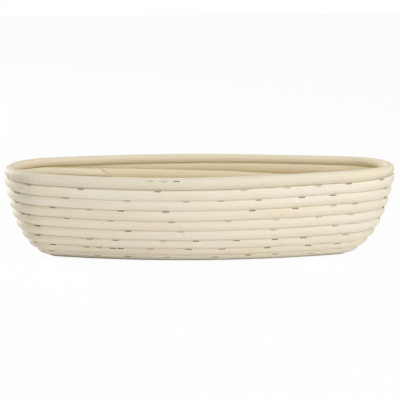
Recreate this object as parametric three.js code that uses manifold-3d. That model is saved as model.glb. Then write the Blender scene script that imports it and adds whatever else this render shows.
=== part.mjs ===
// Oval proofing basket wound from round cane: a flat base of straight canes inside an edge coil,
// a flared wall that goes on from the edge coil as one spiral, a thicker rim cane whose pared
// tail laps over its own start, and wire staples that tie each coil to the next.
// Millimetres, +Z up. The origin is in the middle of the flat underside of the middle base cane.
import * as THREE from "three";
import { mergeVertices } from "three/addons/utils/BufferGeometryUtils.js";
import Module from "manifold-3d";

const wasm = await Module();
wasm.setup();

// Cane and coils
const CANE_DIAMETER = 8.7;
const BASE_GAP = 0.65; // between the canes of the base
const WALL_COIL_GAP = 0.95;
const REST_FLAT = 0.87; // depth of the flat that the underside is trimmed to
const BASE_CANES = ["front_outer_cane", "front_inner_cane", "spine", "back_inner_cane", "back_outer_cane"];
const WALL_COILS = 8;
const BUTT_GAP = 0.4;

// Plan and profile: every coil runs parallel to a lens of two long arcs that meet at the tips
const CORE_RUN = 244; // from tip to tip of the lens
const EDGE_TURN = 10.5; // radius of the edge coil's middle line round a tip
const LEAN_AT_RIM = 10.2; // degrees from upright
const LEAN_AT_BASE = 72;
const LEAN_POWER = 2.33;
const SIDE_DIP = 2.5; // how much lower the rim is halfway along a side than at the tips

// Rim
const RIM_DIAMETER = 11;
const RIM_GAP = 0.6;
const RIM_PARING = 1.45; // power by which the pared start grows as the tail rises off it
const TAIL_DIAMETER = 7.2;
const TAIL_INSET = 7.4;
const TAIL_LIFT = 6.6;
const TAIL_CUT = 22; // length of the slanting cut at the tail's end

// Staples
const WIRE = 0.8;
const CROWN = 6;
const LEG = 7;
const FACE_LEG = 4; // of the staples on the rim's outer face
const CROWN_ANGLE = 58; // degrees up the lower cane's outer face
const STAPLE_CLEARANCE = 0.3;
const JOINT_STAPLE_OFFSET = 9; // from a butt joint to the staples on either side of it
const RIM_FACE_ANGLE = 15; // degrees up the rim's outer face

// Stations count the path: one lap starts at the left tip and runs along the front to the
// right tip and home along the back.
const END_STATIONS = 12;
const SIDE_STATIONS = 7;
const LAP = 2 * (END_STATIONS + SIDE_STATIONS);
const FRONT_START = END_STATIONS / 2;
const FRONT_END = FRONT_START + SIDE_STATIONS;
const BACK_START = FRONT_END + END_STATIONS;
const BACK_END = BACK_START + SIDE_STATIONS;
const CLIMB_START = BACK_START; // along the back the coils climb to the next level
const CLIMB_END = BACK_END + 1;
const SECTION_SIDES = 10;

// Butt joints between the cane lengths, as lap and station
const JOINTS = [
  { lap: 1, station: BACK_START + 3.5 },
  { lap: 3, station: FRONT_START + 1.27 },
  { lap: 4, station: BACK_START + 5.5 },
  { lap: 6, station: BACK_START + 2.5 },
];
const WEDGE_STATIONS = 5.8; // the top coil is pared away over these
const WEDGE_LIFT = 0.51; // share of a level by which the wedge climbs
const LEAD_IN = 5.9; // the first coil grows from a pared point over these
const RIM_START = 2;
const RIM_LAP = FRONT_START + 1; // the tail rises off the pared start between the left tip and here
const TAIL_END = LAP + FRONT_START + 1.57;

// Stations of the staples under the rim and on its outer face
const RIM_STAPLES = [6.92, 8.6, 10.45, 11.4, 12.1, 12.79, 15.5, 18.5, 21.5, 24.5];
const RIM_FACE_STAPLES = [8.45, 8.745, 9.01];

const CANE_RADIUS = CANE_DIAMETER / 2;
const RIM_RADIUS = RIM_DIAMETER / 2;
const BASE_PITCH = CANE_DIAMETER + BASE_GAP;
const WALL_PITCH = CANE_DIAMETER + WALL_COIL_GAP;
const REST_HEIGHT = CANE_RADIUS - REST_FLAT; // centre of the canes that lie on the table
const CORE_HALF_RUN = CORE_RUN / 2;
const CORE_HALF_WIDTH = (BASE_PITCH * (BASE_CANES.length + 1)) / 2 - EDGE_TURN;
const SIDE_RADIUS = (CORE_HALF_RUN ** 2 + CORE_HALF_WIDTH ** 2) / (2 * CORE_HALF_WIDTH);
const SIDE_CENTRE = SIDE_RADIUS - CORE_HALF_WIDTH; // how far a side's arc centre lies beyond the middle line
const SIDE_ANGLE = Math.asin(CORE_HALF_RUN / SIDE_RADIUS);
const UP = new THREE.Vector3(0, 0, 1);

const caneMaterial = new THREE.MeshStandardMaterial({ color: 0xece2c6, roughness: 0.7, metalness: 0 });
const wireMaterial = new THREE.MeshStandardMaterial({ color: 0x6b655c, roughness: 0.45, metalness: 0.9 });

const radians = THREE.MathUtils.degToRad;
const ease = THREE.MathUtils.smoothstep;
const blend = THREE.MathUtils.lerp;

// Where a station lies: its foot on the lens and the level direction in which the coils grow.
function plan(station) {
  const u = THREE.MathUtils.euclideanModulo(station, LAP);
  const quarter = Math.PI / 2;
  const endTurn = (Math.PI - 2 * SIDE_ANGLE) / END_STATIONS;
  const sideTurn = (2 * SIDE_ANGLE) / SIDE_STATIONS;
  const direction = (angle) => new THREE.Vector3(Math.cos(angle), Math.sin(angle), 0);
  const onSide = (angle, fore) => {
    const foot = direction(angle).multiplyScalar(SIDE_RADIUS);
    return { foot: foot.add(new THREE.Vector3(0, -fore * SIDE_CENTRE, 0)), outward: direction(angle) };
  };
  const onTip = (angle, side) => {
    return { foot: new THREE.Vector3(side * CORE_HALF_RUN, 0, 0), outward: direction(angle) };
  };
  if (u < FRONT_START) return onTip(-Math.PI + endTurn * u, -1);
  if (u <= FRONT_END) return onSide(-quarter - SIDE_ANGLE + sideTurn * (u - FRONT_START), -1);
  if (u < BACK_START) return onTip(endTurn * (u - LAP / 2), 1);
  if (u <= BACK_END) return onSide(quarter - SIDE_ANGLE + sideTurn * (u - BACK_START), 1);
  return onTip(Math.PI + endTurn * (u - LAP), -1);
}

// The wall's profile: how far out from the lens and how high a coil lies. Level 0 is the edge
// coil, and each wall coil leans less than the one below it.
const PROFILE_SLICES = 8; // per coil
function leanAt(level) {
  const fromRim = Math.max(1 - level / WALL_COILS, 0);
  return radians(blend(LEAN_AT_RIM, LEAN_AT_BASE, fromRim ** LEAN_POWER));
}
function profileAt(level) {
  if (level <= 0) return { reach: EDGE_TURN + WALL_PITCH * level, height: REST_HEIGHT };
  const slices = Math.ceil(level * PROFILE_SLICES);
  const slice = level / slices;
  let reach = EDGE_TURN;
  let height = REST_HEIGHT;
  for (let i = 0; i < slices; i++) {
    const lean = leanAt(slice * (i + 0.5));
    reach += WALL_PITCH * slice * Math.sin(lean);
    height += WALL_PITCH * slice * Math.cos(lean);
  }
  return { reach, height };
}

// The centre of a coil at a station and level, with the level direction out of the basket.
function placeAt(station, level) {
  const { foot, outward } = plan(station);
  const { reach, height } = profileAt(level);
  const centre = foot.addScaledVector(outward, reach);
  const sideways = 1 - (centre.x / (CORE_HALF_RUN + reach)) ** 2;
  centre.z = height - SIDE_DIP * (Math.max(level, 0) / WALL_COILS) * sideways;
  return { centre, outward };
}

// One section of the spiral: level along the front, then up one level along the back. It starts
// as a pared point beside the base canes, and its end is pared to a wedge over the climbing coil.
const SPIRAL_START = CLIMB_END - LEAD_IN - LAP;
const SPIRAL_END = WALL_COILS * LAP + CLIMB_START + WEDGE_STATIONS;
function spiralSection(position) {
  const level = Math.floor(position / LAP);
  const station = position - level * LAP;
  const climbed = ease(station, CLIMB_START, CLIMB_END);
  const onWedge = level === WALL_COILS && climbed > 0;
  const onPoint = level < 0 && climbed < 1;
  if (onWedge) {
    return { ...placeAt(station, level + climbed * WEDGE_LIFT), radius: CANE_RADIUS * (1 - climbed) };
  }
  if (onPoint) return { ...placeAt(station, (climbed - 1) / 2), radius: CANE_RADIUS * climbed };
  return { ...placeAt(station, level + climbed), radius: CANE_RADIUS };
}

// One section of the rim: a thin pared start that grows to the full cane, a level lap, and a
// pared tail that rises over the start on its inner side.
function rimSection(position) {
  const grown = ease(position, 0, RIM_LAP) ** RIM_PARING;
  const pared = ease(position, LAP, LAP + RIM_LAP);
  const diameter = blend(RIM_DIAMETER * grown, TAIL_DIAMETER, pared);
  const { centre, outward } = placeAt(position, WALL_COILS);
  const seat = CANE_RADIUS + RIM_GAP + RIM_RADIUS * grown;
  centre.addScaledVector(outward, seat * Math.sin(radians(LEAN_AT_RIM)) - pared * TAIL_INSET);
  centre.addScaledVector(UP, seat * Math.cos(radians(LEAN_AT_RIM)) + pared * TAIL_LIFT);
  return { centre, outward, radius: diameter / 2 };
}

// Sections at a start, an end and each whole station between them, with a stretch before the
// end left clear for a slanting cut.
function sectionsOf(sectionAt, start, end, clear = 0) {
  const whole = [];
  for (let i = Math.floor(start) + 1; i < end - clear; i++) whole.push(i);
  const positions = [start, ...whole.filter((i) => i - start > 0.05 && end - i > 0.05), end];
  return positions.map((position) => ({ position, ...betweenStations(sectionAt, position) }));
}

// The section at a position on the straight stretch between two whole stations.
function betweenStations(sectionAt, position) {
  const before = sectionAt(Math.floor(position));
  const after = sectionAt(Math.floor(position) + 1);
  const share = position - Math.floor(position);
  return {
    centre: before.centre.clone().lerp(after.centre, share),
    outward: before.outward.clone().lerp(after.outward, share).normalize(),
    along: after.centre.clone().sub(before.centre).normalize(),
    radius: blend(before.radius, after.radius, share),
  };
}

// The points round a section, trimmed flat at the table.
function ringOf({ centre, outward, radius }) {
  return Array.from({ length: SECTION_SIDES }, (_, side) => {
    const angle = -Math.PI / 2 + (2 * Math.PI * (side + 0.5)) / SECTION_SIDES;
    const point = centre.clone();
    point.addScaledVector(outward, radius * Math.cos(angle));
    point.addScaledVector(UP, radius * Math.sin(angle));
    point.z = Math.max(point.z, 0);
    return point;
  });
}

// A closed tube through rings of points.
function tube(rings) {
  const faces = [];
  const last = (rings.length - 1) * SECTION_SIDES;
  for (let ring = 0; ring < last; ring += SECTION_SIDES) {
    for (let side = 0; side < SECTION_SIDES; side++) {
      const next = (side + 1) % SECTION_SIDES;
      faces.push(ring + side, ring + SECTION_SIDES + side, ring + next);
      faces.push(ring + next, ring + SECTION_SIDES + side, ring + SECTION_SIDES + next);
    }
  }
  for (let side = 1; side < SECTION_SIDES - 1; side++) {
    faces.push(0, side, side + 1);
    faces.push(last, last + side + 1, last + side);
  }
  const points = rings.flat().flatMap((point) => point.toArray());
  const geometry = new THREE.BufferGeometry();
  geometry.setAttribute("position", new THREE.Float32BufferAttribute(points, 3));
  return geometry.setIndex(faces);
}

// A wound length of cane. Its end is square, or slants back from the tip at the bottom by a
// length at the top.
function woundCane(sections, cut = 0) {
  const rings = sections.map(ringOf);
  const [before, end] = sections.slice(-2);
  const backwards = before.centre.clone().sub(end.centre).normalize();
  for (const point of rings.at(-1)) {
    const share = (point.z - end.centre.z + end.radius) / (2 * end.radius);
    point.addScaledVector(backwards, cut * share);
  }
  return tube(rings);
}

// How far the space inside the edge coil reaches along the basket, at a distance from its
// middle line.
function insideReach(across) {
  const turn = EDGE_TURN - CANE_RADIUS - BASE_GAP;
  const aside = Math.abs(across);
  if (aside < turn * Math.cos(SIDE_ANGLE)) return CORE_HALF_RUN + Math.sqrt(turn ** 2 - aside ** 2);
  return Math.sqrt((SIDE_RADIUS + turn) ** 2 - (aside + SIDE_CENTRE) ** 2);
}

// A straight base cane whose ends are pared to the curve of the edge coil.
function straightCane(across) {
  const outward = new THREE.Vector3(0, -1, 0);
  const centre = new THREE.Vector3(0, across, REST_HEIGHT);
  const rings = [-1, 1].map((side) => {
    const ring = ringOf({ centre, outward, radius: CANE_RADIUS });
    for (const point of ring) point.x = side * insideReach(point.y);
    return ring;
  });
  return tube(rings);
}

// Least clear distance between two stretches of the same cane that lie a lap apart.
function leastGap(sections) {
  let least = Infinity;
  for (const a of sections) {
    for (const b of sections) {
      if (b.position - a.position < LAP / 2) continue;
      least = Math.min(least, a.centre.distanceTo(b.centre) - a.radius - b.radius);
    }
  }
  return least;
}

function solidOf(geometry) {
  const bare = new THREE.BufferGeometry();
  bare.setAttribute("position", geometry.getAttribute("position"));
  if (geometry.index) bare.setIndex(geometry.index);
  const merged = mergeVertices(bare, 1e-4);
  return new wasm.Manifold(
    new wasm.Mesh({
      numProp: 3,
      vertProperties: new Float32Array(merged.attributes.position.array),
      triVerts: new Uint32Array(merged.index.array),
    }),
  );
}

function geometryOf(solid) {
  const made = solid.getMesh();
  const geometry = new THREE.BufferGeometry();
  geometry.setAttribute("position", new THREE.BufferAttribute(made.vertProperties, made.numProp));
  return geometry.setIndex(new THREE.BufferAttribute(made.triVerts, 1));
}

// A staple: a crown with two legs, along X, with the legs down -Z from the crown's middle line.
function stapleGeometry(leg) {
  const out = CROWN / 2 + WIRE / 2;
  const inner = CROWN / 2 - WIRE / 2;
  const shape = new THREE.Shape();
  shape.moveTo(-out, WIRE / 2);
  shape.lineTo(-out, -leg);
  shape.lineTo(-inner, -leg);
  shape.lineTo(-inner, -WIRE / 2);
  shape.lineTo(inner, -WIRE / 2);
  shape.lineTo(inner, -leg);
  shape.lineTo(out, -leg);
  shape.lineTo(out, WIRE / 2);
  shape.closePath();
  const geometry = new THREE.ExtrudeGeometry(shape, { depth: WIRE, bevelEnabled: false });
  return geometry.translate(0, 0, -WIRE / 2).rotateX(Math.PI / 2);
}

// The two pilot holes for a staple's legs, in the same frame.
function legHoles(leg) {
  const width = WIRE + 2 * STAPLE_CLEARANCE;
  const length = leg + STAPLE_CLEARANCE;
  return [-1, 1].map((side) => {
    const hole = new THREE.BoxGeometry(width, width, length);
    return hole.translate((side * CROWN) / 2, 0, -length / 2);
  });
}

// The frame of a staple with its crown at a place, along a cane, and its legs away from a direction.
function crownFrame(crown, cane, back) {
  const along = cane.clone().addScaledVector(back, -cane.dot(back)).normalize();
  const across = back.clone().cross(along);
  return new THREE.Matrix4().makeBasis(along, across, back).setPosition(crown);
}

// The frame of a staple whose crown lies on the lower cane beside the groove and whose legs
// run into the upper cane.
function stapleFrame(lower, upper) {
  const rise = upper.centre.clone().sub(lower.centre).normalize();
  const side = lower.outward.clone().multiplyScalar(rise.dot(UP));
  side.addScaledVector(UP, -rise.dot(lower.outward)).normalize();
  const standoff = lower.radius + STAPLE_CLEARANCE + WIRE * Math.SQRT1_2;
  const crown = lower.centre.clone();
  crown.addScaledVector(rise, standoff * Math.sin(radians(CROWN_ANGLE)));
  crown.addScaledVector(side, standoff * Math.cos(radians(CROWN_ANGLE)));
  return crownFrame(crown, lower.along, crown.clone().sub(upper.centre).normalize());
}

// Cane lengths: name, section rule, start and end
const seams = JOINTS.map(({ lap, station }) => lap * LAP + station);
const stationLength = CORE_RUN / SIDE_STATIONS;
const halfButt = BUTT_GAP / 2 / stationLength;
const jointStaple = JOINT_STAPLE_OFFSET / stationLength;
const lengths = [
  { name: "base_cane", rule: spiralSection, start: SPIRAL_START, end: seams[0] - halfButt },
  { name: "lower_wall_cane", rule: spiralSection, start: seams[0] + halfButt, end: seams[1] - halfButt },
  { name: "middle_wall_cane", rule: spiralSection, start: seams[1] + halfButt, end: seams[2] - halfButt },
  { name: "upper_wall_cane", rule: spiralSection, start: seams[2] + halfButt, end: seams[3] - halfButt },
  { name: "top_wall_cane", rule: spiralSection, start: seams[3] + halfButt, end: SPIRAL_END },
  { name: "rim_cane", rule: rimSection, start: RIM_START, end: TAIL_END, cut: TAIL_CUT },
];
const caneAt = (position) =>
  lengths.find(({ rule, start, end }) => rule === spiralSection && position > start && position < end).name;

// The staples: what each is called, the canes that it ties, and where its crown lies
const staples = [];
function tieCoils(name, position) {
  const lower = betweenStations(spiralSection, position);
  const upper = betweenStations(spiralSection, position + LAP);
  const carriers = [caneAt(position), caneAt(position + LAP)];
  staples.push({ name, carriers, frame: stapleFrame(lower, upper), leg: LEG });
}
seams.forEach((seam, joint) => {
  [-1, 1].forEach((side) => {
    const end = side < 0 ? "ending" : "starting";
    tieCoils(`joint_${joint + 1}_staple_${end}_below`, seam + side * jointStaple - LAP);
    tieCoils(`joint_${joint + 1}_staple_${end}_above`, seam + side * jointStaple);
  });
});
const topLap = WALL_COILS * LAP;
RIM_STAPLES.forEach((station, i) => {
  const lower = betweenStations(spiralSection, topLap + station);
  const upper = betweenStations(rimSection, station);
  staples.push({
    name: `rim_staple_${String(i + 1).padStart(2, "0")}`,
    carriers: [caneAt(topLap + station), "rim_cane"],
    frame: stapleFrame(lower, upper),
    leg: LEG,
  });
});
RIM_FACE_STAPLES.forEach((station, i) => {
  const { centre, outward, along, radius } = betweenStations(rimSection, station);
  const back = outward.clone().multiplyScalar(Math.cos(radians(RIM_FACE_ANGLE)));
  back.addScaledVector(UP, Math.sin(radians(RIM_FACE_ANGLE)));
  centre.addScaledVector(back, radius + STAPLE_CLEARANCE + WIRE / 2);
  const frame = crownFrame(centre, along, back);
  staples.push({ name: `rim_face_staple_${i + 1}`, carriers: ["rim_cane"], frame, leg: FACE_LEG });
});

const basket = new THREE.Group();
basket.name = "proofing_basket";
function addPiece(name, geometry, material) {
  const mesh = new THREE.Mesh(geometry, material);
  mesh.name = name;
  basket.add(mesh);
  return mesh;
}

// The straight canes of the base lie side by side inside the edge coil, from front to back.
BASE_CANES.forEach((name, i) => {
  const across = BASE_PITCH * (i - (BASE_CANES.length - 1) / 2);
  addPiece(`base_${name}`, straightCane(across), caneMaterial);
});

for (const { name, rule, start, end, cut } of lengths) {
  const sections = sectionsOf(rule, start, end, (cut ?? 0) / stationLength);
  let solid = solidOf(woundCane(sections, cut));
  for (const { carriers, frame, leg } of staples) {
    if (!carriers.includes(name)) continue;
    for (const hole of legHoles(leg)) solid = solid.subtract(solidOf(hole.applyMatrix4(frame)));
  }
  addPiece(name, geometryOf(solid), caneMaterial);
  console.log(`${name}: least gap to itself ${leastGap(sections).toFixed(2)} mm`);
}

for (const { name, frame, leg } of staples) {
  const staple = addPiece(name, stapleGeometry(leg), wireMaterial);
  staple.applyMatrix4(frame);
}

export default basket;
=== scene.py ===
"""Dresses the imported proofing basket: wound cane, wire staples and a plain studio.

The cane follows the same winding as the solids: level coils that run parallel to a lens of two
long arcs, climb one level a lap along the back and end under a thicker, lapped rim. Here the coils
touch, and they are a little uneven. Metres, +Z up.
"""

import logging
import math
import random
from collections.abc import Callable, Sequence
from dataclasses import dataclass, field, replace
from enum import Enum
from typing import Any

import bpy
from mathutils import Matrix, Vector, noise


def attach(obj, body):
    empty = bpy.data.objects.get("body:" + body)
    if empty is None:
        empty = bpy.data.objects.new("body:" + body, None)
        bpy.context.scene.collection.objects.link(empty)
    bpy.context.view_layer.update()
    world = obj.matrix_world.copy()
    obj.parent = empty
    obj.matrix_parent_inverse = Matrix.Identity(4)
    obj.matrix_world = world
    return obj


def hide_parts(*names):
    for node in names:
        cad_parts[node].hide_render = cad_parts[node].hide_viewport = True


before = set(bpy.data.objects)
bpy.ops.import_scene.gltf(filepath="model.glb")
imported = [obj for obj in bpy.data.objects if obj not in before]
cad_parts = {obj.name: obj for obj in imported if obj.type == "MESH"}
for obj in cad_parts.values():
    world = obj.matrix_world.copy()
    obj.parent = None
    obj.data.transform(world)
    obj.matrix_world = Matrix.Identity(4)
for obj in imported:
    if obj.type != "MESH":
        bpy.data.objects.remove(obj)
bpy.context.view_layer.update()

log = logging.getLogger("basket")

Colour = tuple[float, float, float, float]
Triple = tuple[float, float, float]
Span = tuple[float, float]

MM = 0.001
TINY = 1e-6
UP = Vector((0.0, 0.0, 1.0))
WHITE: Colour = (1.0, 1.0, 1.0, 1.0)


def blend(low: float, high: float, share: float) -> float:
    """Returns the value a share of the way from low to high."""
    return low + (high - low) * share


def ease(value: float, start: float, end: float) -> float:
    """Returns 0 before start, 1 after end and a smooth step between them."""
    share = min(max((value - start) / (end - start), 0.0), 1.0)
    return share * share * (3.0 - 2.0 * share)


def wander(centre: Vector, level: float, scale: Span) -> float:
    """Returns a steady noise value on a coil, by the scales along it and from level to level."""
    return noise.noise(Vector((centre.x * scale[0], centre.y * scale[0], level * scale[1])))


class Slot(Enum):
    """Names for the material slots; nothing in the script uses them."""

    COIL = "coil_cane"
    RIM = "rim_cane"
    STAPLE = "staple_wire"


class Side(Enum):
    """The long sides of the basket."""

    FRONT = "front"
    BACK = "back"


class Signal:
    """A node socket that takes part in Python arithmetic."""

    def __init__(self, graph: "Graph", socket: bpy.types.NodeSocket) -> None:
        """Wraps a socket of a graph."""
        self.graph = graph
        self.socket = socket

    def _math(self, operation: str, first: Any, second: Any) -> "Signal":
        """Adds a Math node for two values and returns its result."""
        return self.graph.signal("ShaderNodeMath", "Value", {"operation": operation}, {0: first, 1: second})

    def __add__(self, other: Any) -> "Signal":
        """Returns this value plus another."""
        return self._math("ADD", self, other)

    def __radd__(self, other: Any) -> "Signal":
        """Returns another value plus this one."""
        return self._math("ADD", other, self)

    def __sub__(self, other: Any) -> "Signal":
        """Returns this value less another."""
        return self._math("SUBTRACT", self, other)

    def __rsub__(self, other: Any) -> "Signal":
        """Returns another value less this one."""
        return self._math("SUBTRACT", other, self)

    def __mul__(self, other: Any) -> "Signal":
        """Returns this value times another."""
        return self._math("MULTIPLY", self, other)

    def __rmul__(self, other: Any) -> "Signal":
        """Returns another value times this one."""
        return self._math("MULTIPLY", other, self)

    def component(self, axis: str) -> "Signal":
        """Returns one component of this vector."""
        return self.graph.signal("ShaderNodeSeparateXYZ", axis, None, {0: self})

    def stretched(self, factors: Triple) -> "Signal":
        """Returns this vector with each component times a factor."""
        settings = {"operation": "MULTIPLY"}
        return self.graph.signal("ShaderNodeVectorMath", "Vector", settings, {0: self, 1: factors})

    def towards(self, direction: Triple) -> "Signal":
        """Returns how far this vector reaches along a direction."""
        settings = {"operation": "DOT_PRODUCT"}
        return self.graph.signal("ShaderNodeVectorMath", "Value", settings, {0: self, 1: direction})

    def mapped(self, low: float, high: float, start: float = 0.0, end: float = 1.0) -> "Signal":
        """Returns this value taken smoothly from low..high to start..end.

        Args:
            low: The value that becomes start.
            high: The value that becomes end.
            start: The result at and below low.
            end: The result at and above high.

        Returns:
            The mapped value.
        """
        settings = {"interpolation_type": "SMOOTHSTEP"}
        inputs = {"Value": self, "From Min": low, "From Max": high, "To Min": start, "To Max": end}
        return self.graph.signal("ShaderNodeMapRange", "Result", settings, inputs)


class Graph:
    """A material's or world's node tree."""

    def __init__(self, tree: bpy.types.NodeTree) -> None:
        """Empties a tree to build in it."""
        self.tree = tree
        tree.nodes.clear()

    def node(self, kind: str, settings: dict[str, Any] | None = None,
             inputs: dict[str | int, Any] | None = None) -> bpy.types.Node:
        """Adds a node.

        Args:
            kind: The node's type.
            settings: Its properties, which are set first.
            inputs: Values or signals for its sockets, by name or place.

        Returns:
            The node.
        """
        made = self.tree.nodes.new(kind)
        for name, value in (settings or {}).items():
            setattr(made, name, value)
        for name, value in (inputs or {}).items():
            if isinstance(value, Signal):
                self.tree.links.new(value.socket, made.inputs[name])
            else:
                made.inputs[name].default_value = value
        return made

    def signal(self, kind: str, output: str | int, settings: dict[str, Any] | None = None,
               inputs: dict[str | int, Any] | None = None) -> Signal:
        """Adds a node and returns one of its outputs."""
        return Signal(self, self.node(kind, settings, inputs).outputs[output])

    def attribute(self, name: str, output: str) -> Signal:
        """Returns an attribute of the mesh."""
        return self.signal("ShaderNodeAttribute", output, {"attribute_name": name})

    def noise(self, place: Signal, scale: float, detail: float, roughness: float = 0.5) -> Signal:
        """Returns a noise value at a place."""
        inputs = {"Vector": place, "Scale": scale, "Detail": detail, "Roughness": roughness}
        return self.signal("ShaderNodeTexNoise", "Fac", None, inputs)

    def mix(self, share: Signal, first: Any, second: Any) -> Signal:
        """Returns two colours mixed, with a share of the second."""
        return self.signal("ShaderNodeMix", 2, {"data_type": "RGBA"}, {0: share, 6: first, 7: second})

    def bump(self, height: Signal, distance: float, strength: float) -> Signal:
        """Returns the surface normal bent by a height."""
        inputs = {"Height": height, "Distance": distance, "Strength": strength}
        return self.signal("ShaderNodeBump", "Normal", None, inputs)

    def surface(self, inputs: dict[str | int, Any]) -> None:
        """Ends a material in one Principled surface."""
        shader = self.signal("ShaderNodeBsdfPrincipled", "BSDF", None, inputs)
        self.node("ShaderNodeOutputMaterial", None, {"Surface": shader})


def new_graph(name: str) -> tuple[bpy.types.Material, Graph]:
    """Starts a material.

    Args:
        name: Its name.

    Returns:
        The material and its empty graph.
    """
    material = bpy.data.materials.new(name)
    material.use_nodes = True
    return material, Graph(material.node_tree)


@dataclass(frozen=True)
class CaneFinish:
    """Bare peeled cane: pale and matt, with lengthwise fibres and short dark pores, and painted warm shade on
    its faces inside the basket.

    A grain is how fine its noise is along, out of and up the straight cane. A range is where a mask
    begins and ends.
    """

    name: str
    pale: Colour = (0.83, 0.77, 0.645, 1.0)
    warm: Colour = (0.79, 0.695, 0.50, 1.0)
    # Painted warm shade: the colour that faces inside the basket are mixed towards, standing in for warm
    # light bounced about inside.
    painted_warm_shade: Colour = (0.83, 0.72, 0.50, 1.0)
    fibre: Colour = (0.66, 0.54, 0.35, 1.0)
    pore: Colour = (0.36, 0.27, 0.16, 1.0)
    warm_grain: Triple = (7.0, 40.0, 40.0)
    warm_range: Span = (0.32, 0.95)
    # Where across the cane the painted warm shade begins and ends, and how strong it is.
    painted_warm_shade_range: Span = (-3 * MM, 1 * MM)
    painted_warm_shade_share: float = 0.8
    fibre_grain: Triple = (14.0, 1500.0, 1500.0)
    fibre_range: Span = (0.5, 0.78)
    fibre_share: float = 0.34
    pore_grain: Triple = (150.0, 2600.0, 2600.0)
    pore_range: Span = (0.70, 0.78)
    pore_share: float = 0.4
    pore_depth: float = 0.8
    roughness: float = 0.62
    rough_range: Span = (0.3, 0.8)
    rough_change: Span = (-0.08, 0.14)
    relief: float = 0.12 * MM
    relief_strength: float = 0.6
    shine: float = 0.32

    def make(self) -> bpy.types.Material:
        """Mixes the colours along the straight cane.

        Returns:
            The material.
        """
        material, graph = new_graph(self.name)
        place = graph.attribute("straight_place", "Vector")
        tint = graph.attribute("tint", "Fac")
        slow = graph.noise(place.stretched(self.warm_grain), scale=1.0, detail=2.0)
        colour = graph.mix((slow + tint).mapped(*self.warm_range), self.pale, self.warm)
        # Painted warm shade: the faces inside the basket are mixed towards a warmer colour.
        inner = place.component("Y").mapped(*self.painted_warm_shade_range, 1.0, 0.0)
        colour = graph.mix(inner * self.painted_warm_shade_share, colour, self.painted_warm_shade)
        fibres = graph.noise(place.stretched(self.fibre_grain), scale=1.0, detail=3.0, roughness=0.6)
        colour = graph.mix(fibres.mapped(*self.fibre_range) * self.fibre_share, colour, self.fibre)
        pores = graph.noise(place.stretched(self.pore_grain), scale=1.0, detail=1.0).mapped(*self.pore_range)
        colour = graph.mix(pores * self.pore_share, colour, self.pore)
        rough = self.roughness + fibres.mapped(*self.rough_range, *self.rough_change)
        height = fibres - self.pore_depth * pores
        graph.surface({"Base Color": colour, "Roughness": rough, "Specular IOR Level": self.shine,
                       "Normal": graph.bump(height, self.relief, self.relief_strength)})
        return material


@dataclass(frozen=True)
class EndGrainFinish:
    """The cut end of a cane: a darker face full of open pores."""

    name: str
    face: Colour = (0.62, 0.50, 0.33, 1.0)
    light: Colour = (0.74, 0.63, 0.45, 1.0)
    pore: Colour = (0.25, 0.18, 0.10, 1.0)
    light_scale: float = 420.0
    light_range: Span = (0.3, 0.7)
    light_share: float = 0.35
    pore_scale: float = 1700.0
    pore_range: Span = (0.18, 0.36)
    pore_share: float = 0.75
    roughness: float = 0.85
    rough_change: float = 0.1
    relief: float = 0.2 * MM
    relief_strength: float = 0.7

    def make(self) -> bpy.types.Material:
        """Mottles the face and opens its pores.

        Returns:
            The material.
        """
        material, graph = new_graph(self.name)
        place = graph.signal("ShaderNodeTexCoord", "Object")
        inputs = {"Vector": place, "Scale": self.pore_scale}
        cells = graph.signal("ShaderNodeTexVoronoi", "Distance", {"feature": "F1"}, inputs)
        pores = cells.mapped(*self.pore_range, 1.0, 0.0)
        mottle = graph.noise(place, self.light_scale, detail=3.0)
        colour = graph.mix(mottle.mapped(*self.light_range) * self.light_share, self.face, self.light)
        colour = graph.mix(pores * self.pore_share, colour, self.pore)
        graph.surface({"Base Color": colour, "Roughness": self.roughness + mottle * self.rough_change,
                       "Normal": graph.bump(1.0 - pores, self.relief, self.relief_strength)})
        return material


@dataclass(frozen=True)
class WireFinish:
    """Drawn staple wire gone dull and brown in places."""

    name: str
    steel: Colour = (0.56, 0.47, 0.31, 1.0)
    tarnish: Colour = (0.17, 0.12, 0.06, 1.0)
    patch_scale: float = 260.0
    patch_share: float = 0.6
    worn_and_shaded_range: Span = (0.35, 1.45)
    metallic: Span = (0.6, 0.1)
    roughness: Span = (0.42, 0.7)
    relief: float = 0.05 * MM
    relief_strength: float = 0.5

    def make(self) -> bpy.types.Material:
        """Wears the wire in patches, some staples more than others, and darkens it towards the staples' ends
        with painted shade.

        Returns:
            The material.
        """
        material, graph = new_graph(self.name)
        place = graph.attribute("straight_place", "Vector")
        patches = graph.noise(place, self.patch_scale, detail=4.0, roughness=0.65)
        # The tint holds each staple's own tarnish and the painted shade at its ends, where the legs go into
        # the cane.
        worn_and_shaded = (patches * self.patch_share + graph.attribute("tint", "Fac")).mapped(*self.worn_and_shaded_range)
        graph.surface({"Base Color": graph.mix(worn_and_shaded, self.steel, self.tarnish),
                       "Metallic": worn_and_shaded.mapped(0.0, 1.0, *self.metallic),
                       "Roughness": worn_and_shaded.mapped(0.0, 1.0, *self.roughness),
                       "Normal": graph.bump(patches, self.relief, self.relief_strength)})
        return material


COIL_CANE = CaneFinish("coil cane")
# The rim's faces inside the basket take their own painted warm shade.
RIM_CANE = CaneFinish("rim cane", pale=(0.75, 0.685, 0.55, 1.0), painted_warm_shade=(0.82, 0.73, 0.55, 1.0))
CUT_END = EndGrainFinish("cut cane end")
STAPLE_WIRE = WireFinish("staple wire")


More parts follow.
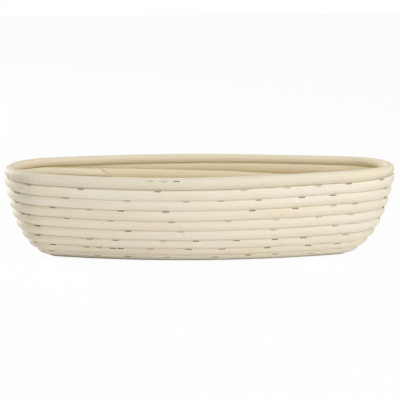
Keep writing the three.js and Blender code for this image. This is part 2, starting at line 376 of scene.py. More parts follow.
@dataclass
class Section:
    """One section of a cane.

    It has a centre, the level direction out of the basket and a radius. It leans with the wall. Where it is
    pressed by its neighbours its faces are less curved than a circle, and flat above and below.
    """

    centre: Vector
    outward: Vector
    radius: float
    lean: float = 0.0
    curve: float = 1.0
    above: float = math.inf
    below: float = math.inf

    @property
    def rise(self) -> Vector:
        """The direction up the wall."""
        return self.outward * math.sin(self.lean) + UP * math.cos(self.lean)

    @property
    def face(self) -> Vector:
        """The direction square out of the wall."""
        return self.outward * math.cos(self.lean) - UP * math.sin(self.lean)

    @property
    def edge(self) -> float:
        """The angle from the middle of the outer face up to its top edge."""
        return math.asin(min(self.above / (self.radius * self.curve), 1.0))

    def normal(self, angle: float) -> Vector:
        """Returns the direction out of the outer face at an angle up from its middle."""
        return self.face * math.cos(angle) + self.rise * math.sin(angle)

    def spot(self, angle: float) -> Vector:
        """Returns the point of the outer face at an angle up from its middle."""
        bow = self.radius * self.curve
        return self.centre + self.normal(angle) * bow - self.face * (bow - self.radius)

    def scaled(self, share: float) -> "Section":
        """Returns the section at a share of its thickness."""
        return replace(self, radius=self.radius * share, above=self.above * share, below=self.below * share)

    def outline(self, sides: int) -> list[tuple[float, float]]:
        """Returns the section's points.

        Args:
            sides: The number of points, an even one.

        Returns:
            How far out of the wall and up it each lies: down the outer face, then up the inner one.
        """
        half = sides // 2
        bow = self.radius * self.curve
        limits = [min(flat / bow, 1.0) for flat in (self.above, self.below)]
        step = (math.asin(limits[0]) + math.asin(limits[1])) / half
        top = math.asin(limits[0]) - (step / 2 if limits[0] == 1 else 0.0)
        bottom = (step / 2 if limits[1] == 1 else 0.0) - math.asin(limits[1])
        outer = [blend(top, bottom, i / (half - 1)) for i in range(half)]
        face = [(self.radius - bow * (1 - math.cos(angle)), bow * math.sin(angle)) for angle in outer]
        return face + [(-across, high) for across, high in reversed(face)]


Rule = Callable[[float], Section]
Reshape = Callable[[float, Sequence[Vector]], list[Vector]]


def heading(rule: Rule, position: float, step: float = 0.05) -> Vector:
    """Returns the direction in which a cane runs at a position."""
    return (rule(position + step).centre - rule(position - step).centre).normalized()


@dataclass
class Winding:
    """The path of the cane. Stations count along a lap: left tip, front, right tip, back."""

    # Coils and base
    pitch: float = 9.65 * MM
    base_pitch: float = 9.35 * MM
    base_canes: int = 5
    wall_coils: int = 8
    core_run: float = 244 * MM
    edge_turn: float = 10.5 * MM
    end_stations: int = 12
    side_stations: int = 7

    # Lean of the wall
    lean_at_rim: float = math.radians(10.2)
    lean_at_base: float = math.radians(72)
    lean_power: float = 2.33
    profile_slices: int = 8

    # Climb, start and end of the spiral, in stations
    climb_after: float = 0.5
    climb_past: float = 3.5
    lead_in: float = 8.6
    wedge_stations: float = 9.25
    wedge_lift: float = 0.5

    # Sag and rest on the floor
    side_dip: float = 2.5 * MM
    back_dip: float = 1.2 * MM
    rest_flat: float = 1.2 * MM
    rest_drop: float = 0.8 * MM

    # Unevenness of a wound basket
    right_from: float = -45 * MM
    right_to: float = 165 * MM
    right_narrow: float = 0.14
    tip_draw: float = 0.018
    skew: float = -2.2 * MM
    wave: float = 0.35 * MM
    wave_scale: Span = (13.0, 0.55)
    unevenness: float = 0.012
    uneven_scale: Span = (30.0, 3.7)

    # Pressed coils, whose flatness changes along X over a range in shares of half the core run
    squeeze: float = 0.01 * MM
    fullness: float = 1.06
    flatness: float = 0.55
    left_flatness: float = 0.08
    right_flatness: float = 0.38
    flat_range: Span = (0.5, 1.25)

    # Rim and its tail
    rim_diameter: float = 11 * MM
    rim_thin: float = 8.8 * MM
    rim_inset: float = 1.1 * MM
    rim_seat: float = 0.2
    rim_start: float = 2.6
    swell_start: float = -1.0
    swell_past: float = 9.0
    scarf_gap: float = 0.04 * MM
    tail_after: float = 1.6
    tail_diameter: float = 7.2 * MM
    tail_inset: float = 6.8 * MM
    tail_lift: float = 8.0 * MM
    tail_stations: float = 7.57

    def __post_init__(self) -> None:
        """Works out what follows from the driving sizes."""
        self.half_run = self.core_run / 2
        self.half_width = self.base_pitch * (self.base_canes + 1) / 2 - self.edge_turn
        self.side_radius = (self.half_run**2 + self.half_width**2) / (2 * self.half_width)
        self.side_centre = self.side_radius - self.half_width
        self.side_angle = math.asin(self.half_run / self.side_radius)
        self.lap = 2 * (self.end_stations + self.side_stations)
        self.front_start = self.end_stations / 2
        self.front_end = self.front_start + self.side_stations
        self.back_start = self.front_end + self.end_stations
        self.back_end = self.back_start + self.side_stations
        self.climb_start = self.back_start + self.climb_after
        self.climb_end = self.back_end + self.climb_past
        self.spiral_start = self.climb_end - self.lead_in - self.lap
        self.spiral_end = self.wall_coils * self.lap + self.climb_start + self.wedge_stations
        self.tail_rise = self.lap + self.tail_after
        self.rim_lap = self.front_start
        self.tail_end = self.lap + self.tail_stations

    def plan(self, station: float) -> tuple[Vector, Vector]:
        """Finds a station on the lens.

        Args:
            station: The station, on any lap.

        Returns:
            Its foot on the lens and the level direction in which coils grow.
        """
        here = station % self.lap
        end_turn = (math.pi - 2 * self.side_angle) / self.end_stations
        side_turn = 2 * self.side_angle / self.side_stations
        fore = 0
        side = -1
        if here < self.front_start:
            angle = -math.pi + end_turn * here
        elif here <= self.front_end:
            angle = -math.pi / 2 - self.side_angle + side_turn * (here - self.front_start)
            fore = -1
        elif here < self.back_start:
            angle = end_turn * (here - self.lap / 2)
            side = 1
        elif here <= self.back_end:
            angle = math.pi / 2 - self.side_angle + side_turn * (here - self.back_start)
            fore = 1
        else:
            angle = math.pi + end_turn * (here - self.lap)
        outward = Vector((math.cos(angle), math.sin(angle), 0.0))
        if fore:
            return outward * self.side_radius - Vector((0.0, fore * self.side_centre, 0.0)), outward
        return Vector((side * self.half_run, 0.0, 0.0)), outward

    def station_on_front(self, along: float, reach: float) -> float:
        """Returns the station at which a coil's front passes a place along the basket.

        Args:
            along: The place along X.
            reach: How far the coil lies out from the lens.

        Returns:
            The station, between the left and the right tip.
        """
        halvings = 40
        low, high = 0.0, self.lap / 2
        for _ in range(halvings):
            middle = (low + high) / 2
            foot, outward = self.plan(middle)
            if foot.x + reach * outward.x < along:
                low = middle
            else:
                high = middle
        return low

    def lean(self, level: float) -> float:
        """Returns the wall's lean from upright at a level."""
        from_rim = max(1 - level / self.wall_coils, 0.0)
        return blend(self.lean_at_rim, self.lean_at_base, from_rim**self.lean_power)

    def profile(self, level: float) -> tuple[float, float]:
        """Returns how far out from the lens and how high a coil lies.

        Args:
            level: 0 for the edge coil, 1 to 8 for the wall coils.

        Returns:
            Reach and height. The lowest canes lie deep enough for the flat of their undersides, and the
            rest drop lowers the coils a little more towards the rim.
        """
        rest = self.pitch / 2 - self.rest_flat
        if level <= 0:
            return self.edge_turn + self.pitch * level, rest
        slices = math.ceil(level * self.profile_slices)
        step = level / slices
        reach, height = self.edge_turn, rest
        for i in range(slices):
            lean = self.lean(step * (i + 0.5))
            reach += self.pitch * step * math.sin(lean)
            height += self.pitch * step * math.cos(lean)
        sunk = self.rest_drop * level / self.wall_coils
        return reach, height - sunk

    def place(self, station: float, level: float) -> tuple[Vector, Vector]:
        """Finds a place on a coil.

        Args:
            station: The station along the lap.
            level: The coil's level, which may lie between two coils.

        Returns:
            The coil's centre there and the level direction out of the basket.
        """
        foot, outward = self.plan(station)
        reach, height = self.profile(level)
        centre = foot + outward * reach
        sideways = 1 - (centre.x / (self.half_run + reach)) ** 2
        up = max(level, 0.0) / self.wall_coils
        dip = self.back_dip if outward.y > 0 else self.side_dip
        centre.z = height - dip * up * sideways
        outward = self.narrow(centre, outward, up)
        centre.z += self.wave * wander(centre, level, self.wave_scale) * min(max(level, 0.0), 1.0)
        centre.x = self.drawn(centre.x, level)
        return centre, outward

    def narrow(self, centre: Vector, outward: Vector, up: float) -> Vector:
        """Draws a place near the right tip towards the middle line.

        Args:
            centre: The place, which is moved.
            outward: The direction out of the basket there.
            up: How far up the wall the place is, from 0 to 1.

        Returns:
            The direction out of the basket at the moved place.
        """
        step = 1 * MM
        here = self.right_narrow * up * ease(centre.x, self.right_from, self.right_to)
        ahead = self.right_narrow * up * ease(centre.x + step, self.right_from, self.right_to)
        along = Vector((-outward.y, outward.x, 0.0))
        along.y = along.y * (1 - here) - along.x * centre.y * (ahead - here) / step
        centre.y *= 1 - here
        return Vector((along.y, -along.x, 0.0)).normalized()

    def drawn(self, along: float, level: float) -> float:
        """Returns a place along X as it was wound: the lower coils drawn in and a little to the left."""
        low = 1 - max(level, 0.0) / self.wall_coils
        return along * (1 - self.tip_draw * low) + self.skew * low

    def coil(self, station: float, level: float) -> Section:
        """Cuts through a coil that is pressed against its neighbours.

        Args:
            station: The station along the lap.
            level: The coil's level, which lies between two coils where it climbs.

        Returns:
            The section, rounder at the tips than along the front and back.
        """
        centre, outward = self.place(station, level)
        above, _ = self.place(station, level + 0.5)
        below, _ = self.place(station, level - 0.5)
        wall = min(max(level, 0.0), 1.0)
        uneven = self.unevenness * wall * wander(centre, level, self.uneven_scale)
        radius = self.pitch / 2 * (blend(1.0, self.fullness, wall) + uneven)
        tip = self.left_flatness if centre.x < 0 else self.right_flatness
        flatness = blend(self.flatness, tip, ease(abs(centre.x) / self.half_run, *self.flat_range))
        return Section(centre, outward, radius, self.lean(level), 1 + flatness * wall,
                       (above - centre).length - self.squeeze, (centre - below).length - self.squeeze)

    def spiral(self, position: float) -> Section:
        """Returns a section of the spiral, which climbs one level along the back of each lap.

        Args:
            position: Laps times stations a lap, plus the station.

        Returns:
            The section. The start grows from a pared point and the end is pared to a wedge.
        """
        level = math.floor(position / self.lap)
        station = position - level * self.lap
        climbed = ease(station, self.climb_start, self.climb_end)
        if level == self.wall_coils and climbed > 0:
            return self.coil(station, level + climbed * self.wedge_lift).scaled(1 - climbed)
        if level < 0 and climbed < 1:
            return self.coil(station, (climbed - 1) / 2).scaled(climbed)
        return self.coil(station, level + climbed)

    def rim(self, position: float) -> Section:
        """Cuts through the rim, whose pared tail rises over its own start.

        Args:
            position: The station, past one lap for the tail.

        Returns:
            The section, flat below where it is seated on the top coil.
        """
        pared = ease(position, self.tail_rise, self.tail_rise + self.rim_lap)
        full = self.rim_thickness(position)
        diameter = blend(full, self.tail_diameter, pared)
        top = self.coil(position, self.wall_coils)
        flat = full / 2 * (1 - self.rim_seat)
        centre = top.centre + top.rise * (top.above + self.squeeze + flat) - top.face * self.rim_inset
        centre += UP * (pared * self.tail_lift) - top.outward * (pared * self.tail_inset)
        return Section(centre, top.outward, diameter / 2, top.lean, below=flat)

    def rim_thickness(self, position: float) -> float:
        """Measures the rim's cane, which is thickest at the middle of the front.

        Args:
            position: The station, past one lap for the tail.

        Returns:
            The thickness.
        """
        middle = (self.front_start + self.front_end) / 2
        thin_again = self.front_end + self.swell_past
        full = ease(position, self.swell_start, middle) * (1 - ease(position, middle, thin_again))
        return blend(self.rim_thin, self.rim_diameter, full)

    def scarf(self, position: float, points: Sequence[Vector]) -> list[Vector]:
        """Pares the rim's start hollow where the tail lies on it.

        Args:
            position: Where along the rim the points are.
            points: The points round the full section.

        Returns:
            The points, those inside the tail folded back to lie along its near side.
        """
        if position > self.tail_stations:
            return list(points)
        start, tail = self.rim(position), self.rim(position + self.lap)
        reach = tail.radius + self.scarf_gap
        apart = tail.centre - start.centre
        distance = max(apart.length, TINY)
        apart = apart / distance
        chord = (distance**2 + start.radius**2 - reach**2) / (2 * distance)
        folded = []
        for point in points:
            if (point - tail.centre).length < reach:
                past = (point - start.centre).dot(apart) - chord
                point = point - apart * (2 * past)
                point = tail.centre + (point - tail.centre).normalized() * reach
            folded.append(point)
        return folded


class MeshParts:
    """Points and faces of a mesh in the making, with the place of each point in its straight cane."""

    SIDE_SLOT = 0
    END_SLOT = 1

    def __init__(self) -> None:
        """Starts an empty mesh."""
        self.points: list[Vector] = []
        self.faces: list[tuple[int, ...]] = []
        self.slots: list[int] = []
        self.places: list[Vector] = []
        self.tints: list[float] = []
        self.sharp: set[tuple[int, int]] = set()

    def ring(self, points: Sequence[Vector], places: Sequence[Vector], tint: float) -> list[int]:
        """Adds a ring of points.

        Args:
            points: The points in order.
            places: Their places in the straight cane.
            tint: The tint of all of them.

        Returns:
            The numbers of the points.
        """
        first = len(self.points)
        self.points.extend(points)
        self.places.extend(places)
        self.tints.extend([tint] * len(points))
        return list(range(first, len(self.points)))

    def join(self, before: Sequence[int], after: Sequence[int]) -> None:
        """Adds the band of faces between two rings.

        Args:
            before: The numbers of one ring's points.
            after: The numbers of the next ring's points.
        """
        count = len(before)
        for i in range(count):
            j = (i + 1) % count
            self.faces.append((before[i], before[j], after[j], after[i]))
            self.slots.append(self.SIDE_SLOT)

    def cap(self, ring: Sequence[int], slot: int) -> None:
        """Closes a ring with one flat face.

        Args:
            ring: The numbers of its points.
            slot: The face's material slot.
        """
        self.faces.append(tuple(ring))
        self.slots.append(slot)
        count = len(ring)
        for i in range(count):
            a, b = ring[i], ring[(i + 1) % count]
            self.sharp.add((min(a, b), max(a, b)))

    def skin(self, rings: Sequence[Sequence[int]], slot: int) -> None:
        """Joins rings into a closed length.

        Args:
            rings: The rings in order.
            slot: The material slot of both cut ends.
        """
        for before, after in zip(rings, rings[1:]):
            self.join(before, after)
        self.cap(rings[0][::-1], slot)
        self.cap(rings[-1], slot)

    def build(self, name: str, materials: Sequence[bpy.types.Material]) -> bpy.types.Object:
        """Makes the object.

        Args:
            name: Its name.
            materials: Its material slots.

        Returns:
            The object, smooth but for the edges of its cut ends.
        """
        mesh = bpy.data.meshes.new(name)
        mesh.from_pydata([tuple(p) for p in self.points], [], self.faces)
        for material in materials:
            mesh.materials.append(material)
        mesh.polygons.foreach_set("material_index", self.slots)
        mesh.polygons.foreach_set("use_smooth", [True] * len(self.faces))
        place = mesh.attributes.new("straight_place", "FLOAT_VECTOR", "POINT")
        place.data.foreach_set("vector", [value for p in self.places for value in p])
        tint = mesh.attributes.new("tint", "FLOAT", "POINT")
        tint.data.foreach_set("value", self.tints)
        for edge in mesh.edges:
            a, b = edge.vertices
            edge.use_edge_sharp = (min(a, b), max(a, b)) in self.sharp
        made = bpy.data.objects.new(name, mesh)
        bpy.context.scene.collection.objects.link(made)
        return made


@dataclass
class CaneMaker:
    """Sweeps round cane along sections. Its steps are in stations."""

    sides: int = 24
    ring_gap: float = 3.0 * MM
    chamfer: float = 0.05 * MM
    least_end: float = 0.2
    step: float = 0.02
    least_step: float = 1e-4
    cut_step: float = 0.05

    def ring_points(self, section: Section, travelled: float) -> tuple[list[Vector], list[Vector]]:
        """Sets out one ring of a cane.

        Args:
            section: The section there.
            travelled: How far along the straight cane it lies.

        Returns:
            The ring's points, trimmed flat at the floor, and their places in the straight cane.
        """
        points, places = [], []
        for across, high in section.outline(self.sides):
            point = section.centre + section.face * across + section.rise * high
            point.z = max(point.z, 0.0)
            points.append(point)
            places.append(Vector((travelled, across, high)))
        return points, places

    def sweep(self, rule: Rule, start: float, end: float, lane: float, tint: Callable[[float], float],
              cut: float = 0.0, shape: Reshape | None = None) -> MeshParts:
        """Sweeps a wound length of cane.

        Args:
            rule: Gives the section at a position.
            start: The first position.
            end: The last position.
            lane: Where along its uncut cane the length begins, so that no two lengths look alike.
            tint: Gives how much warmer than usual its cane is at a position.
            cut: How far the end slants back at the top.
            shape: Changes the points round a position, where the cane isn't round.

        Returns:
            The closed mesh with chamfered, capped ends.
        """
        positions = self.positions(rule, start, end)
        parts = MeshParts()
        rings: list[list[int]] = []
        travelled = 0.0
        previous: Vector | None = None
        last = rule(end)
        backwards = (rule(end - self.cut_step).centre - last.centre).normalized()
        for index, position in enumerate(positions):
            section = rule(position)
            if previous is not None:
                travelled += (section.centre - previous).length
            previous = section.centre
            if index in (0, len(positions) - 1):
                section = section.scaled(max(1 - self.chamfer / section.radius, self.least_end))
            points, places = self.ring_points(section, travelled + lane)
            if shape:
                points = shape(position, points)
            if (section.centre - last.centre).length < cut + 2 * last.radius and position > (start + end) / 2:
                self.slant(points, last, backwards, cut)
            rings.append(parts.ring(points, places, tint(position)))
        parts.skin(rings, MeshParts.END_SLOT)
        return parts

    def slant(self, points: list[Vector], last: Section, backwards: Vector, cut: float) -> None:
        """Moves points that lie beyond a slanting cut back onto it, along the cane.

        Args:
            points: The points of one ring, which are moved.
            last: The last section of the cane.
            backwards: The direction back along the cane.
            cut: How far the end slants back at the top.
        """
        for point in points:
            share = (point.z - last.centre.z + last.radius) / (2 * last.radius)
            allowed = cut * min(max(share, 0.0), 1.0)
            behind = (point - last.centre).dot(backwards)
            if behind < allowed:
                point += backwards * (allowed - behind)

    def positions(self, rule: Rule, start: float, end: float) -> list[float]:
        """Spaces the rings of a length.

        Args:
            rule: Gives the section at a position.
            start: The first position.
            end: The last position.

        Returns:
            Positions about one ring gap apart, with a chamfer's width at both ends.
        """
        found = [start]
        position = start
        while position < end:
            position += self.step * self.ring_gap / self.run(rule, position, self.step)
            found.append(min(position, end))
        if len(found) > 2 and found[-1] - found[-2] < self.least_step:
            found.pop(-2)
        near = self.step * self.chamfer / self.run(rule, start, self.step)
        far = self.step * self.chamfer / self.run(rule, end, -self.step)
        inner = [p for p in found if start + 2 * near < p < end - 2 * far]
        return [start, start + near, *inner, end - far, end]

    @staticmethod
    def run(rule: Rule, position: float, step: float) -> float:
        """Returns the length of cane in a step from a position."""
        return max((rule(position + step).centre - rule(position).centre).length, TINY)


@dataclass
class StapleMaker:
    """Bends wire staples and sets them on the canes."""

    wire: float = 0.8 * MM
    crown: float = 5.4 * MM
    bend: float = 0.8 * MM
    leg: float = 3.2 * MM
    crown_share: float = 0.88
    crown_most: float = math.radians(50)
    leg_angle: float = math.radians(30)
    standing: float = 0.12 * MM
    # Painted shade at the ends, where the legs go into the cane: how much darker and duller the wire grows
    # there.
    end_painted_shade: float = 0.5
    lane: float = 100.0
    sides: int = 8
    bend_steps: int = 4

    def path(self) -> list[Vector]:
        """Bends the wire.

        Returns:
            Its middle line: along X, with the legs down -Z.
        """
        half = self.crown / 2
        right = []
        for i in range(self.bend_steps + 1):
            angle = math.pi / 2 * i / self.bend_steps
            out = half - self.bend + self.bend * math.sin(angle)
            right.append(Vector((out, 0.0, -self.bend + self.bend * math.cos(angle))))
        right.append(Vector((half, 0.0, -self.leg)))
        left = [Vector((-p.x, p.y, p.z)) for p in reversed(right)]
        return left + right

    def add(self, parts: MeshParts, place: Matrix, tarnish: float) -> None:
        """Adds one staple to a mesh.

        Args:
            parts: The mesh in the making.
            place: The staple's place, with X along its crown.
            tarnish: How tarnished it is, from 0 to 1, which also sets its lane in the wire.
        """
        path = self.path()
        across = Vector((0.0, 1.0, 0.0))
        rings = []
        for i, point in enumerate(path):
            ahead = path[min(i + 1, len(path) - 1)] - path[max(i - 1, 0)]
            ahead.normalize()
            over = ahead.cross(across)
            points = []
            for side in range(self.sides):
                angle = 2 * math.pi * side / self.sides
                turned = across * math.cos(angle) + over * math.sin(angle)
                points.append(place @ (point + turned * (self.wire / 2)))
            places = [point + UP * (self.lane * tarnish)] * len(points)
            # Painted shade: the tint grows towards the ends, where the legs go into the cane.
            rings.append(parts.ring(points, places, tarnish + self.end_painted_shade * abs(point.x) / self.crown))
        parts.skin(rings, MeshParts.SIDE_SLOT)

    def beside_groove(self, lower: Section, along: Vector) -> Matrix:
        """Places a staple beside the groove above a cane.

        Args:
            lower: The cane's section, on which the crown lies.
            along: The direction in which the cane runs.

        Returns:
            The staple's place.
        """
        angle = min(lower.edge * self.crown_share, self.crown_most)
        crown = lower.spot(angle) + lower.normal(angle) * self.standing
        return self.matrix(crown, along, lower.normal(self.leg_angle))

    def on_face(self, cane: Section, along: Vector, slope: float) -> Matrix:
        """Returns the place of a staple on a cane's own face, where the face slopes up or down."""
        angle = slope + cane.lean
        return self.matrix(cane.spot(angle) + cane.normal(angle) * self.standing, along, cane.normal(angle))

    @staticmethod
    def matrix(crown: Vector, along: Vector, back: Vector) -> Matrix:
        """Turns a staple to its place.

        Args:
            crown: The middle of its crown.
            along: The direction of the crown.
            back: The direction away from the legs.

        Returns:
            A matrix with X along the crown and Z away from the legs.
        """
        along = (along - back * along.dot(back)).normalized()
        across = back.cross(along)
        turned = Matrix((along, across, back)).transposed().to_4x4()
        return Matrix.Translation(crown) @ turned


def settle(piece: bpy.types.Object, nodes: Sequence[str]) -> None:
    """Rides a piece on the basket, in place of its solids.

    Args:
        piece: The piece.
        nodes: The solids that it stands for, none for a row that has no solid.
    """
    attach(piece, "root")
    if nodes:
        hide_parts(*nodes)
    log.info("%s: %d faces, for %s", piece.name, len(piece.data.polygons), ", ".join(nodes) or "no solid")


@dataclass(frozen=True)
class Seam:
    """A butt joint of two lengths of the spiral: its lap, its side and its station along that side."""

    lap: int
    side: Side
    station: float


@dataclass
class Basket:
    """The wound basket with its straight base canes, spiral, rim and staples.

    A lane is where a length begins along its uncut cane. Tints are how much warmer than usual a length is.
    """

    winding: Winding = field(default_factory=Winding)
    cane: CaneMaker = field(default_factory=CaneMaker)
    staple: StapleMaker = field(default_factory=StapleMaker)
    butt_gap: float = 0.03 * MM
    joint_offset: float = 9 * MM
    seams: tuple[Seam, ...] = (Seam(1, Side.BACK, 3.5), Seam(3, Side.FRONT, 1.27),
                               Seam(4, Side.BACK, 5.5), Seam(6, Side.BACK, 2.5))
    straight: tuple[str, ...] = ("front_outer_cane", "front_inner_cane", "spine", "back_inner_cane",
                                 "back_outer_cane")
    straight_rings: int = 41
    straight_lane: float = 3.1
    straight_tints: tuple[float, ...] = (0.0, 0.02, 0.04)
    lengths: tuple[str, ...] = ("base_cane", "lower_wall_cane", "middle_wall_cane", "upper_wall_cane",
                                "top_wall_cane")
    length_lane: float = 5.3
    length_tints: tuple[float, ...] = (-0.02, 0.03, 0.0, 0.05, 0.02)
    rim_lane: float = 41.0
    tail_cut: float = 10 * MM
    # Painted warm shade on the rim's tail, which lies inside the basket: how much it is warmed, and over
    # which stations past one lap.
    tail_painted_shade: float = 0.35
    tail_painted_shade_range: Span = (1.0, 4.0)
    face_angle: float = math.radians(36)
    low_angle: float = math.radians(-34)
    seed: int = 7

    def __post_init__(self) -> None:
        """Makes the finishes and starts the seeded draws."""
        self.draws = random.Random(self.seed)
        self.grain = COIL_CANE.make()
        self.rim_grain = RIM_CANE.make()
        self.end_grain = CUT_END.make()
        self.metal = STAPLE_WIRE.make()

    def seam_positions(self) -> list[float]:
        """Finds the butt joints.

        Returns:
            The positions along the spiral where its lengths meet.
        """
        winding = self.winding
        starts = {Side.FRONT: winding.front_start, Side.BACK: winding.back_start}
        return [seam.lap * winding.lap + starts[seam.side] + seam.station for seam in self.seams]

    def build(self) -> None:
        """Builds every piece of the basket."""
        self.build_base()
        self.build_spiral()
        self.build_rim()
        self.build_staples()

    def inside_reach(self, across: float) -> float:
        """Measures the space inside the edge coil.

        Args:
            across: The distance from the middle line, to either side.

        Returns:
            How far the space reaches along X there.
        """
        winding = self.winding
        turn = winding.edge_turn - winding.pitch / 2 - winding.squeeze
        aside = abs(across)
        if aside < turn * math.cos(winding.side_angle):
            return winding.half_run + math.sqrt(turn**2 - aside**2)
        square = (winding.side_radius + turn) ** 2 - (aside + winding.side_centre) ** 2
        return math.sqrt(max(square, 0.0))

    def build_base(self) -> None:
        """Lays the straight canes of the base, pared at their ends to the edge coil."""
        winding = self.winding
        radius = winding.base_pitch / 2 - winding.squeeze
        outward = Vector((0.0, -1.0, 0.0))
        for index, name in enumerate(self.straight):
            across = winding.base_pitch * (index - (winding.base_canes - 1) / 2)
            section = Section(Vector((0.0, across, radius - winding.rest_flat)), outward, radius)
            points, _ = self.cane.ring_points(section, 0.0)
            lane = self.straight_lane * (index + 1)
            tint = self.straight_tints[index % len(self.straight_tints)]
            parts = MeshParts()
            rings = []
            for step in range(self.straight_rings):
                share = 2 * step / (self.straight_rings - 1) - 1
                ring = [Vector((winding.drawn(share * self.inside_reach(p.y), 0), p.y, p.z)) for p in points]
                places = [Vector((q.x + lane, radius - q.z, q.y - across)) for q in ring]
                rings.append(parts.ring(ring, places, tint))
            parts.skin(rings, MeshParts.END_SLOT)
            piece = parts.build(f"straight_{name}", (self.grain, self.end_grain))
            settle(piece, [f"base_{name}"])

    def build_spiral(self) -> None:
        """Winds the lengths of the spiral from the base to under the rim."""
        winding = self.winding
        station_length = winding.core_run / winding.side_stations
        half_butt = self.butt_gap / 2 / station_length
        bounds = [winding.spiral_start, *self.seam_positions(), winding.spiral_end]
        for index, name in enumerate(self.lengths):
            start = bounds[index] + (half_butt if index else 0.0)
            end = bounds[index + 1] - (half_butt if index < len(self.lengths) - 1 else 0.0)
            lane = self.length_lane * (index + 1)
            tint = self.length_tints[index]
            parts = self.cane.sweep(winding.spiral, start, end, lane, lambda _, tint=tint: tint)
            piece = parts.build(f"wound_{name}", (self.grain, self.end_grain))
            settle(piece, [name])

    def rim_painted_shade(self, position: float) -> float:
        """Returns how much painted warm shade the rim takes at a position: only its tail, which lies inside
        the basket, takes it.
        """
        return self.tail_painted_shade * ease(position - self.winding.lap, *self.tail_painted_shade_range)

    def build_rim(self) -> None:
        """Winds the rim and cuts its tail on a slant."""
        winding = self.winding
        parts = self.cane.sweep(winding.rim, winding.rim_start, winding.tail_end, self.rim_lane,
                                self.rim_painted_shade, self.tail_cut, winding.scarf)
        piece = parts.build("wound_rim_cane", (self.rim_grain, self.end_grain))
        settle(piece, ["rim_cane"])

    def build_staples(self) -> None:
        """Sets the rows of staples in the grooves, then those on the rim's face."""
        winding = self.winding
        rows = StapleRows(self)
        for lap in range(winding.wall_coils + 1):
            parts = MeshParts()
            on_rim = lap == winding.wall_coils
            for station in rows.stations(lap):
                position = lap * winding.lap + station
                lower = winding.spiral(position)
                upper = winding.rim(station) if on_rim else winding.spiral(position + winding.lap)
                # A cane that is pared to less than half takes no staple.
                if min(lower.radius, upper.radius) < winding.pitch / 4:
                    continue
                along = heading(winding.spiral, position)
                place = self.staple.beside_groove(lower, along)
                if lap == 0 and lower.outward.y < 0:
                    place = self.staple.on_face(upper, along, self.low_angle)
                self.staple.add(parts, place, self.draws.random())
            piece = parts.build(f"staples_row_{lap + 1}", (self.metal,))
            settle(piece, rows.nodes(lap))
        parts = MeshParts()
        for station in rows.face_stations:
            along = heading(winding.rim, station)
            place = self.staple.on_face(winding.rim(station), along, self.face_angle)
            self.staple.add(parts, place, self.draws.random())
        piece = parts.build("rim_face_staples", (self.metal,))
        settle(piece, [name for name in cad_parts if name.startswith("rim_face_staple")])


@dataclass
class StapleRows:
    """Where the staples of each groove stand.

    Front places are millimetres along X, for the groove above each lap from the base to the rim.
    """

    basket: Basket
    shortest: float = 30 * MM
    longest: float = 43 * MM
    front_places: tuple[tuple[float, ...], ...] = (
        (-86, -60, -26, 15, 98),
        (-129, 44, 68),
        (-127, -97, -86, -74, -67, -41, -8, 21, 60, 96, 122),
        (-139, -71, -30, -2, 33, 66, 91, 128),
        (-139, -60, -15, 64, 118),
        (-146, -113, -75, -23, 25, 66, 103, 131),
        (-125, -93, -66, -28, 45, 82, 115, 134),
        (-155, -113, -61, -11, 18, 50, 87, 114),
        (-145, -100, -35, 37, 74, 101, 127),
    )
    rim_end_stations: tuple[float, ...] = (15.5, 18.5, 21.5, 24.5)
    face_stations: tuple[float, ...] = (8.45, 8.745, 9.01)
    clear: float = 0.35
    clear_of_front: float = 0.6
    look_ahead: float = 0.1

    def nodes(self, lap: int) -> list[str]:
        """Lists the solid staples of a row.

        Args:
            lap: The lap of the lower coil.

        Returns:
            Their names, or none.
        """
        if lap == self.basket.winding.wall_coils:
            return [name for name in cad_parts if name.startswith("rim_staple")]
        found = []
        for joint, seam in enumerate(self.basket.seams, 1):
            side = {seam.lap - 1: "below", seam.lap: "above"}.get(lap)
            if side:
                found.extend(f"joint_{joint}_staple_{end}_{side}" for end in ("ending", "starting"))
        return found

    def joint_stations(self, lap: int) -> list[float]:
        """Finds the staples beside the butt joints of a lap and the next.

        Args:
            lap: The lap of the lower coil.

        Returns:
            Their stations, one on each side of a joint.
        """
        winding = self.basket.winding
        offset = self.basket.joint_offset * winding.side_stations / winding.core_run
        found = []
        for seam, position in zip(self.basket.seams, self.basket.seam_positions()):
            if lap in (seam.lap - 1, seam.lap):
                station = position - seam.lap * winding.lap
                found.extend([station - offset, station + offset])
        return found

    def stations(self, lap: int) -> list[float]:
        """Returns the stations of a row: read off along the front, drawn at random round the back.

        Args:
            lap: The lap of the lower coil.

        Returns:
            Stations along that lap.
        """
        winding = self.basket.winding
        reach, _ = winding.profile(lap)
        front = [winding.station_on_front(place * MM, reach) for place in self.front_places[lap]]
        found = front + [s for s in self.joint_stations(lap) if self.is_clear(s, front)]
        station = max(front[-1], winding.front_end)
        last = winding.lap + front[0] - self.clear_of_front
        if lap == winding.wall_coils:
            found.extend(self.rim_end_stations)
            station = self.rim_end_stations[-1]
            last = winding.lap
        while True:
            step = self.basket.draws.uniform(self.shortest, self.longest)
            here, _ = winding.place(station, lap)
            ahead, _ = winding.place(station + self.look_ahead, lap)
            station += self.look_ahead * step / (ahead - here).length
            if station > last:
                return found
            if self.is_clear(station, found):
                found.append(station)

    def is_clear(self, station: float, others: Sequence[float]) -> bool:
        """Tells whether a station keeps its distance from others."""
        return all(abs(station - other) > self.clear for other in others)


@dataclass(frozen=True)
class Lamp:
    """A soft lamp that faces the basket: its place, its width and height, and its power in watts."""

    name: str
    place: Triple
    size: Span
    power: float


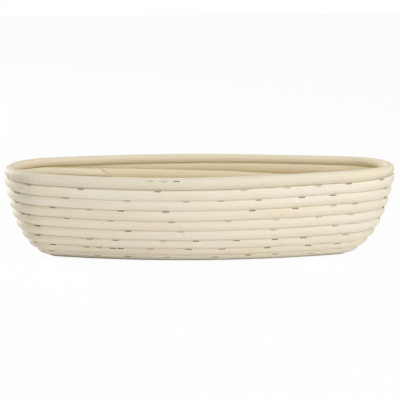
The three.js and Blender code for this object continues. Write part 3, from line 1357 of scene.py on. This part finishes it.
@dataclass
class Studio:
    """Camera, soft lamps, white surroundings and a pale floor.

    The key and the low lamp stand at the front right, one hangs above and one stands behind the left tip.
    """

    aim: Vector = field(default_factory=lambda: Vector((0.0, 0.0, 40 * MM)))
    distance: float = 1.3
    elevation: float = math.radians(11.6)
    roll: float = math.radians(0.40)
    lens: float = 131.2
    sensor: float = 36.0
    shift: Span = (0.0011, 0.0208)
    lamps: tuple[Lamp, ...] = (Lamp("key", (1.2, -1.25, 0.40), (1.0, 0.7), 3.9),
                               Lamp("low", (0.75, -1.55, 0.10), (1.6, 0.2), 4.2),
                               Lamp("top", (0.3, -0.5, 1.2), (1.0, 1.0), 9.2),
                               Lamp("side", (-1.3, 1.05, 0.45), (0.8, 0.8), 22.0))
    lamp_colour: Triple = (0.985, 0.995, 1.0)
    glow_side: Triple = (0.62, -0.70, 0.15)
    glow_away: float = 0.0
    glow_towards: float = 0.53
    glow_warm: Colour = (1.0, 0.93, 0.79, 1.0)
    floor_half: float = 3.0
    floor_colour: Colour = (0.95, 0.95, 0.94, 1.0)
    floor_white: float = 0.95

    def build(self) -> None:
        """Sets up the whole studio."""
        self.add_camera()
        for lamp in self.lamps:
            self.add_lamp(lamp)
        self.add_world()
        self.add_floor()

    def add_camera(self) -> None:
        """Places the camera at the photograph's viewing angle."""
        data = bpy.data.cameras.new("camera")
        data.lens = self.lens
        data.sensor_width = self.sensor
        data.shift_x, data.shift_y = self.shift
        camera = bpy.data.objects.new("camera", data)
        back = Vector((0.0, -math.cos(self.elevation), math.sin(self.elevation)))
        turn = back.to_track_quat("Z", "Y").to_matrix().to_4x4() @ Matrix.Rotation(-self.roll, 4, "Z")
        camera.matrix_world = Matrix.Translation(self.aim + back * self.distance) @ turn
        bpy.context.scene.collection.objects.link(camera)
        bpy.context.scene.camera = camera

    def add_lamp(self, lamp: Lamp) -> None:
        """Hangs a lamp and turns it to the basket.

        Args:
            lamp: What it is like and where it hangs.
        """
        data = bpy.data.lights.new(lamp.name, "AREA")
        data.shape = "RECTANGLE"
        data.size, data.size_y = lamp.size
        data.energy = lamp.power
        data.color = self.lamp_colour
        hung = bpy.data.objects.new(lamp.name, data)
        spot = Vector(lamp.place)
        turn = (spot - self.aim).to_track_quat("Z", "Y").to_matrix().to_4x4()
        hung.matrix_world = Matrix.Translation(spot) @ turn
        bpy.context.scene.collection.objects.link(hung)

    def add_world(self) -> None:
        """Makes surroundings that look white and glow softly, most from the front right, warmer behind."""
        world = bpy.data.worlds.new("studio")
        world.use_nodes = True
        graph = Graph(world.node_tree)
        path = graph.node("ShaderNodeLightPath")
        rays = ("Is Camera Ray", "Is Glossy Ray", "Is Transmission Ray")
        camera, glossy, through = (Signal(graph, path.outputs[name]) for name in rays)
        facing = graph.signal("ShaderNodeTexCoord", "Generated").towards(self.glow_side)
        glow = facing.mapped(-1.0, 1.0, self.glow_away, self.glow_towards)
        tone = graph.mix(facing.mapped(-1.0, 1.0), self.glow_warm, WHITE)
        soft = graph.signal("ShaderNodeBackground", 0, None, {"Color": tone, "Strength": glow})
        white = graph.signal("ShaderNodeBackground", 0, None, {"Color": WHITE, "Strength": 1.0})
        both = graph.signal("ShaderNodeMixShader", 0, None, {0: camera + glossy + through, 1: soft, 2: white})
        graph.node("ShaderNodeOutputWorld", None, {"Surface": both})
        bpy.context.scene.world = world

    def add_floor(self) -> None:
        """Lays a pale floor that keeps the basket's shadow."""
        material, graph = new_graph("pale floor")
        seen = graph.signal("ShaderNodeLightPath", "Is Camera Ray")
        matt = graph.signal("ShaderNodeBsdfDiffuse", 0, None, {"Color": self.floor_colour})
        white = graph.signal("ShaderNodeEmission", 0, None, {"Color": WHITE, "Strength": 1.0})
        both = graph.signal("ShaderNodeMixShader", 0, None, {0: seen * self.floor_white, 1: matt, 2: white})
        graph.node("ShaderNodeOutputMaterial", None, {"Surface": both})
        half = self.floor_half
        mesh = bpy.data.meshes.new("floor")
        corners = [(-half, -half, 0.0), (half, -half, 0.0), (half, half, 0.0), (-half, half, 0.0)]
        mesh.from_pydata(corners, [], [(0, 1, 2, 3)])
        mesh.materials.append(material)
        floor = bpy.data.objects.new("floor", mesh)
        bpy.context.scene.collection.objects.link(floor)


def main() -> None:
    """Builds the basket and its studio."""
    logging.basicConfig(level=logging.INFO, format="%(name)s: %(message)s")
    bpy.context.scene.view_settings.view_transform = "Standard"
    Studio().build()
    Basket().build()


if __name__ == "__main__":
    main()
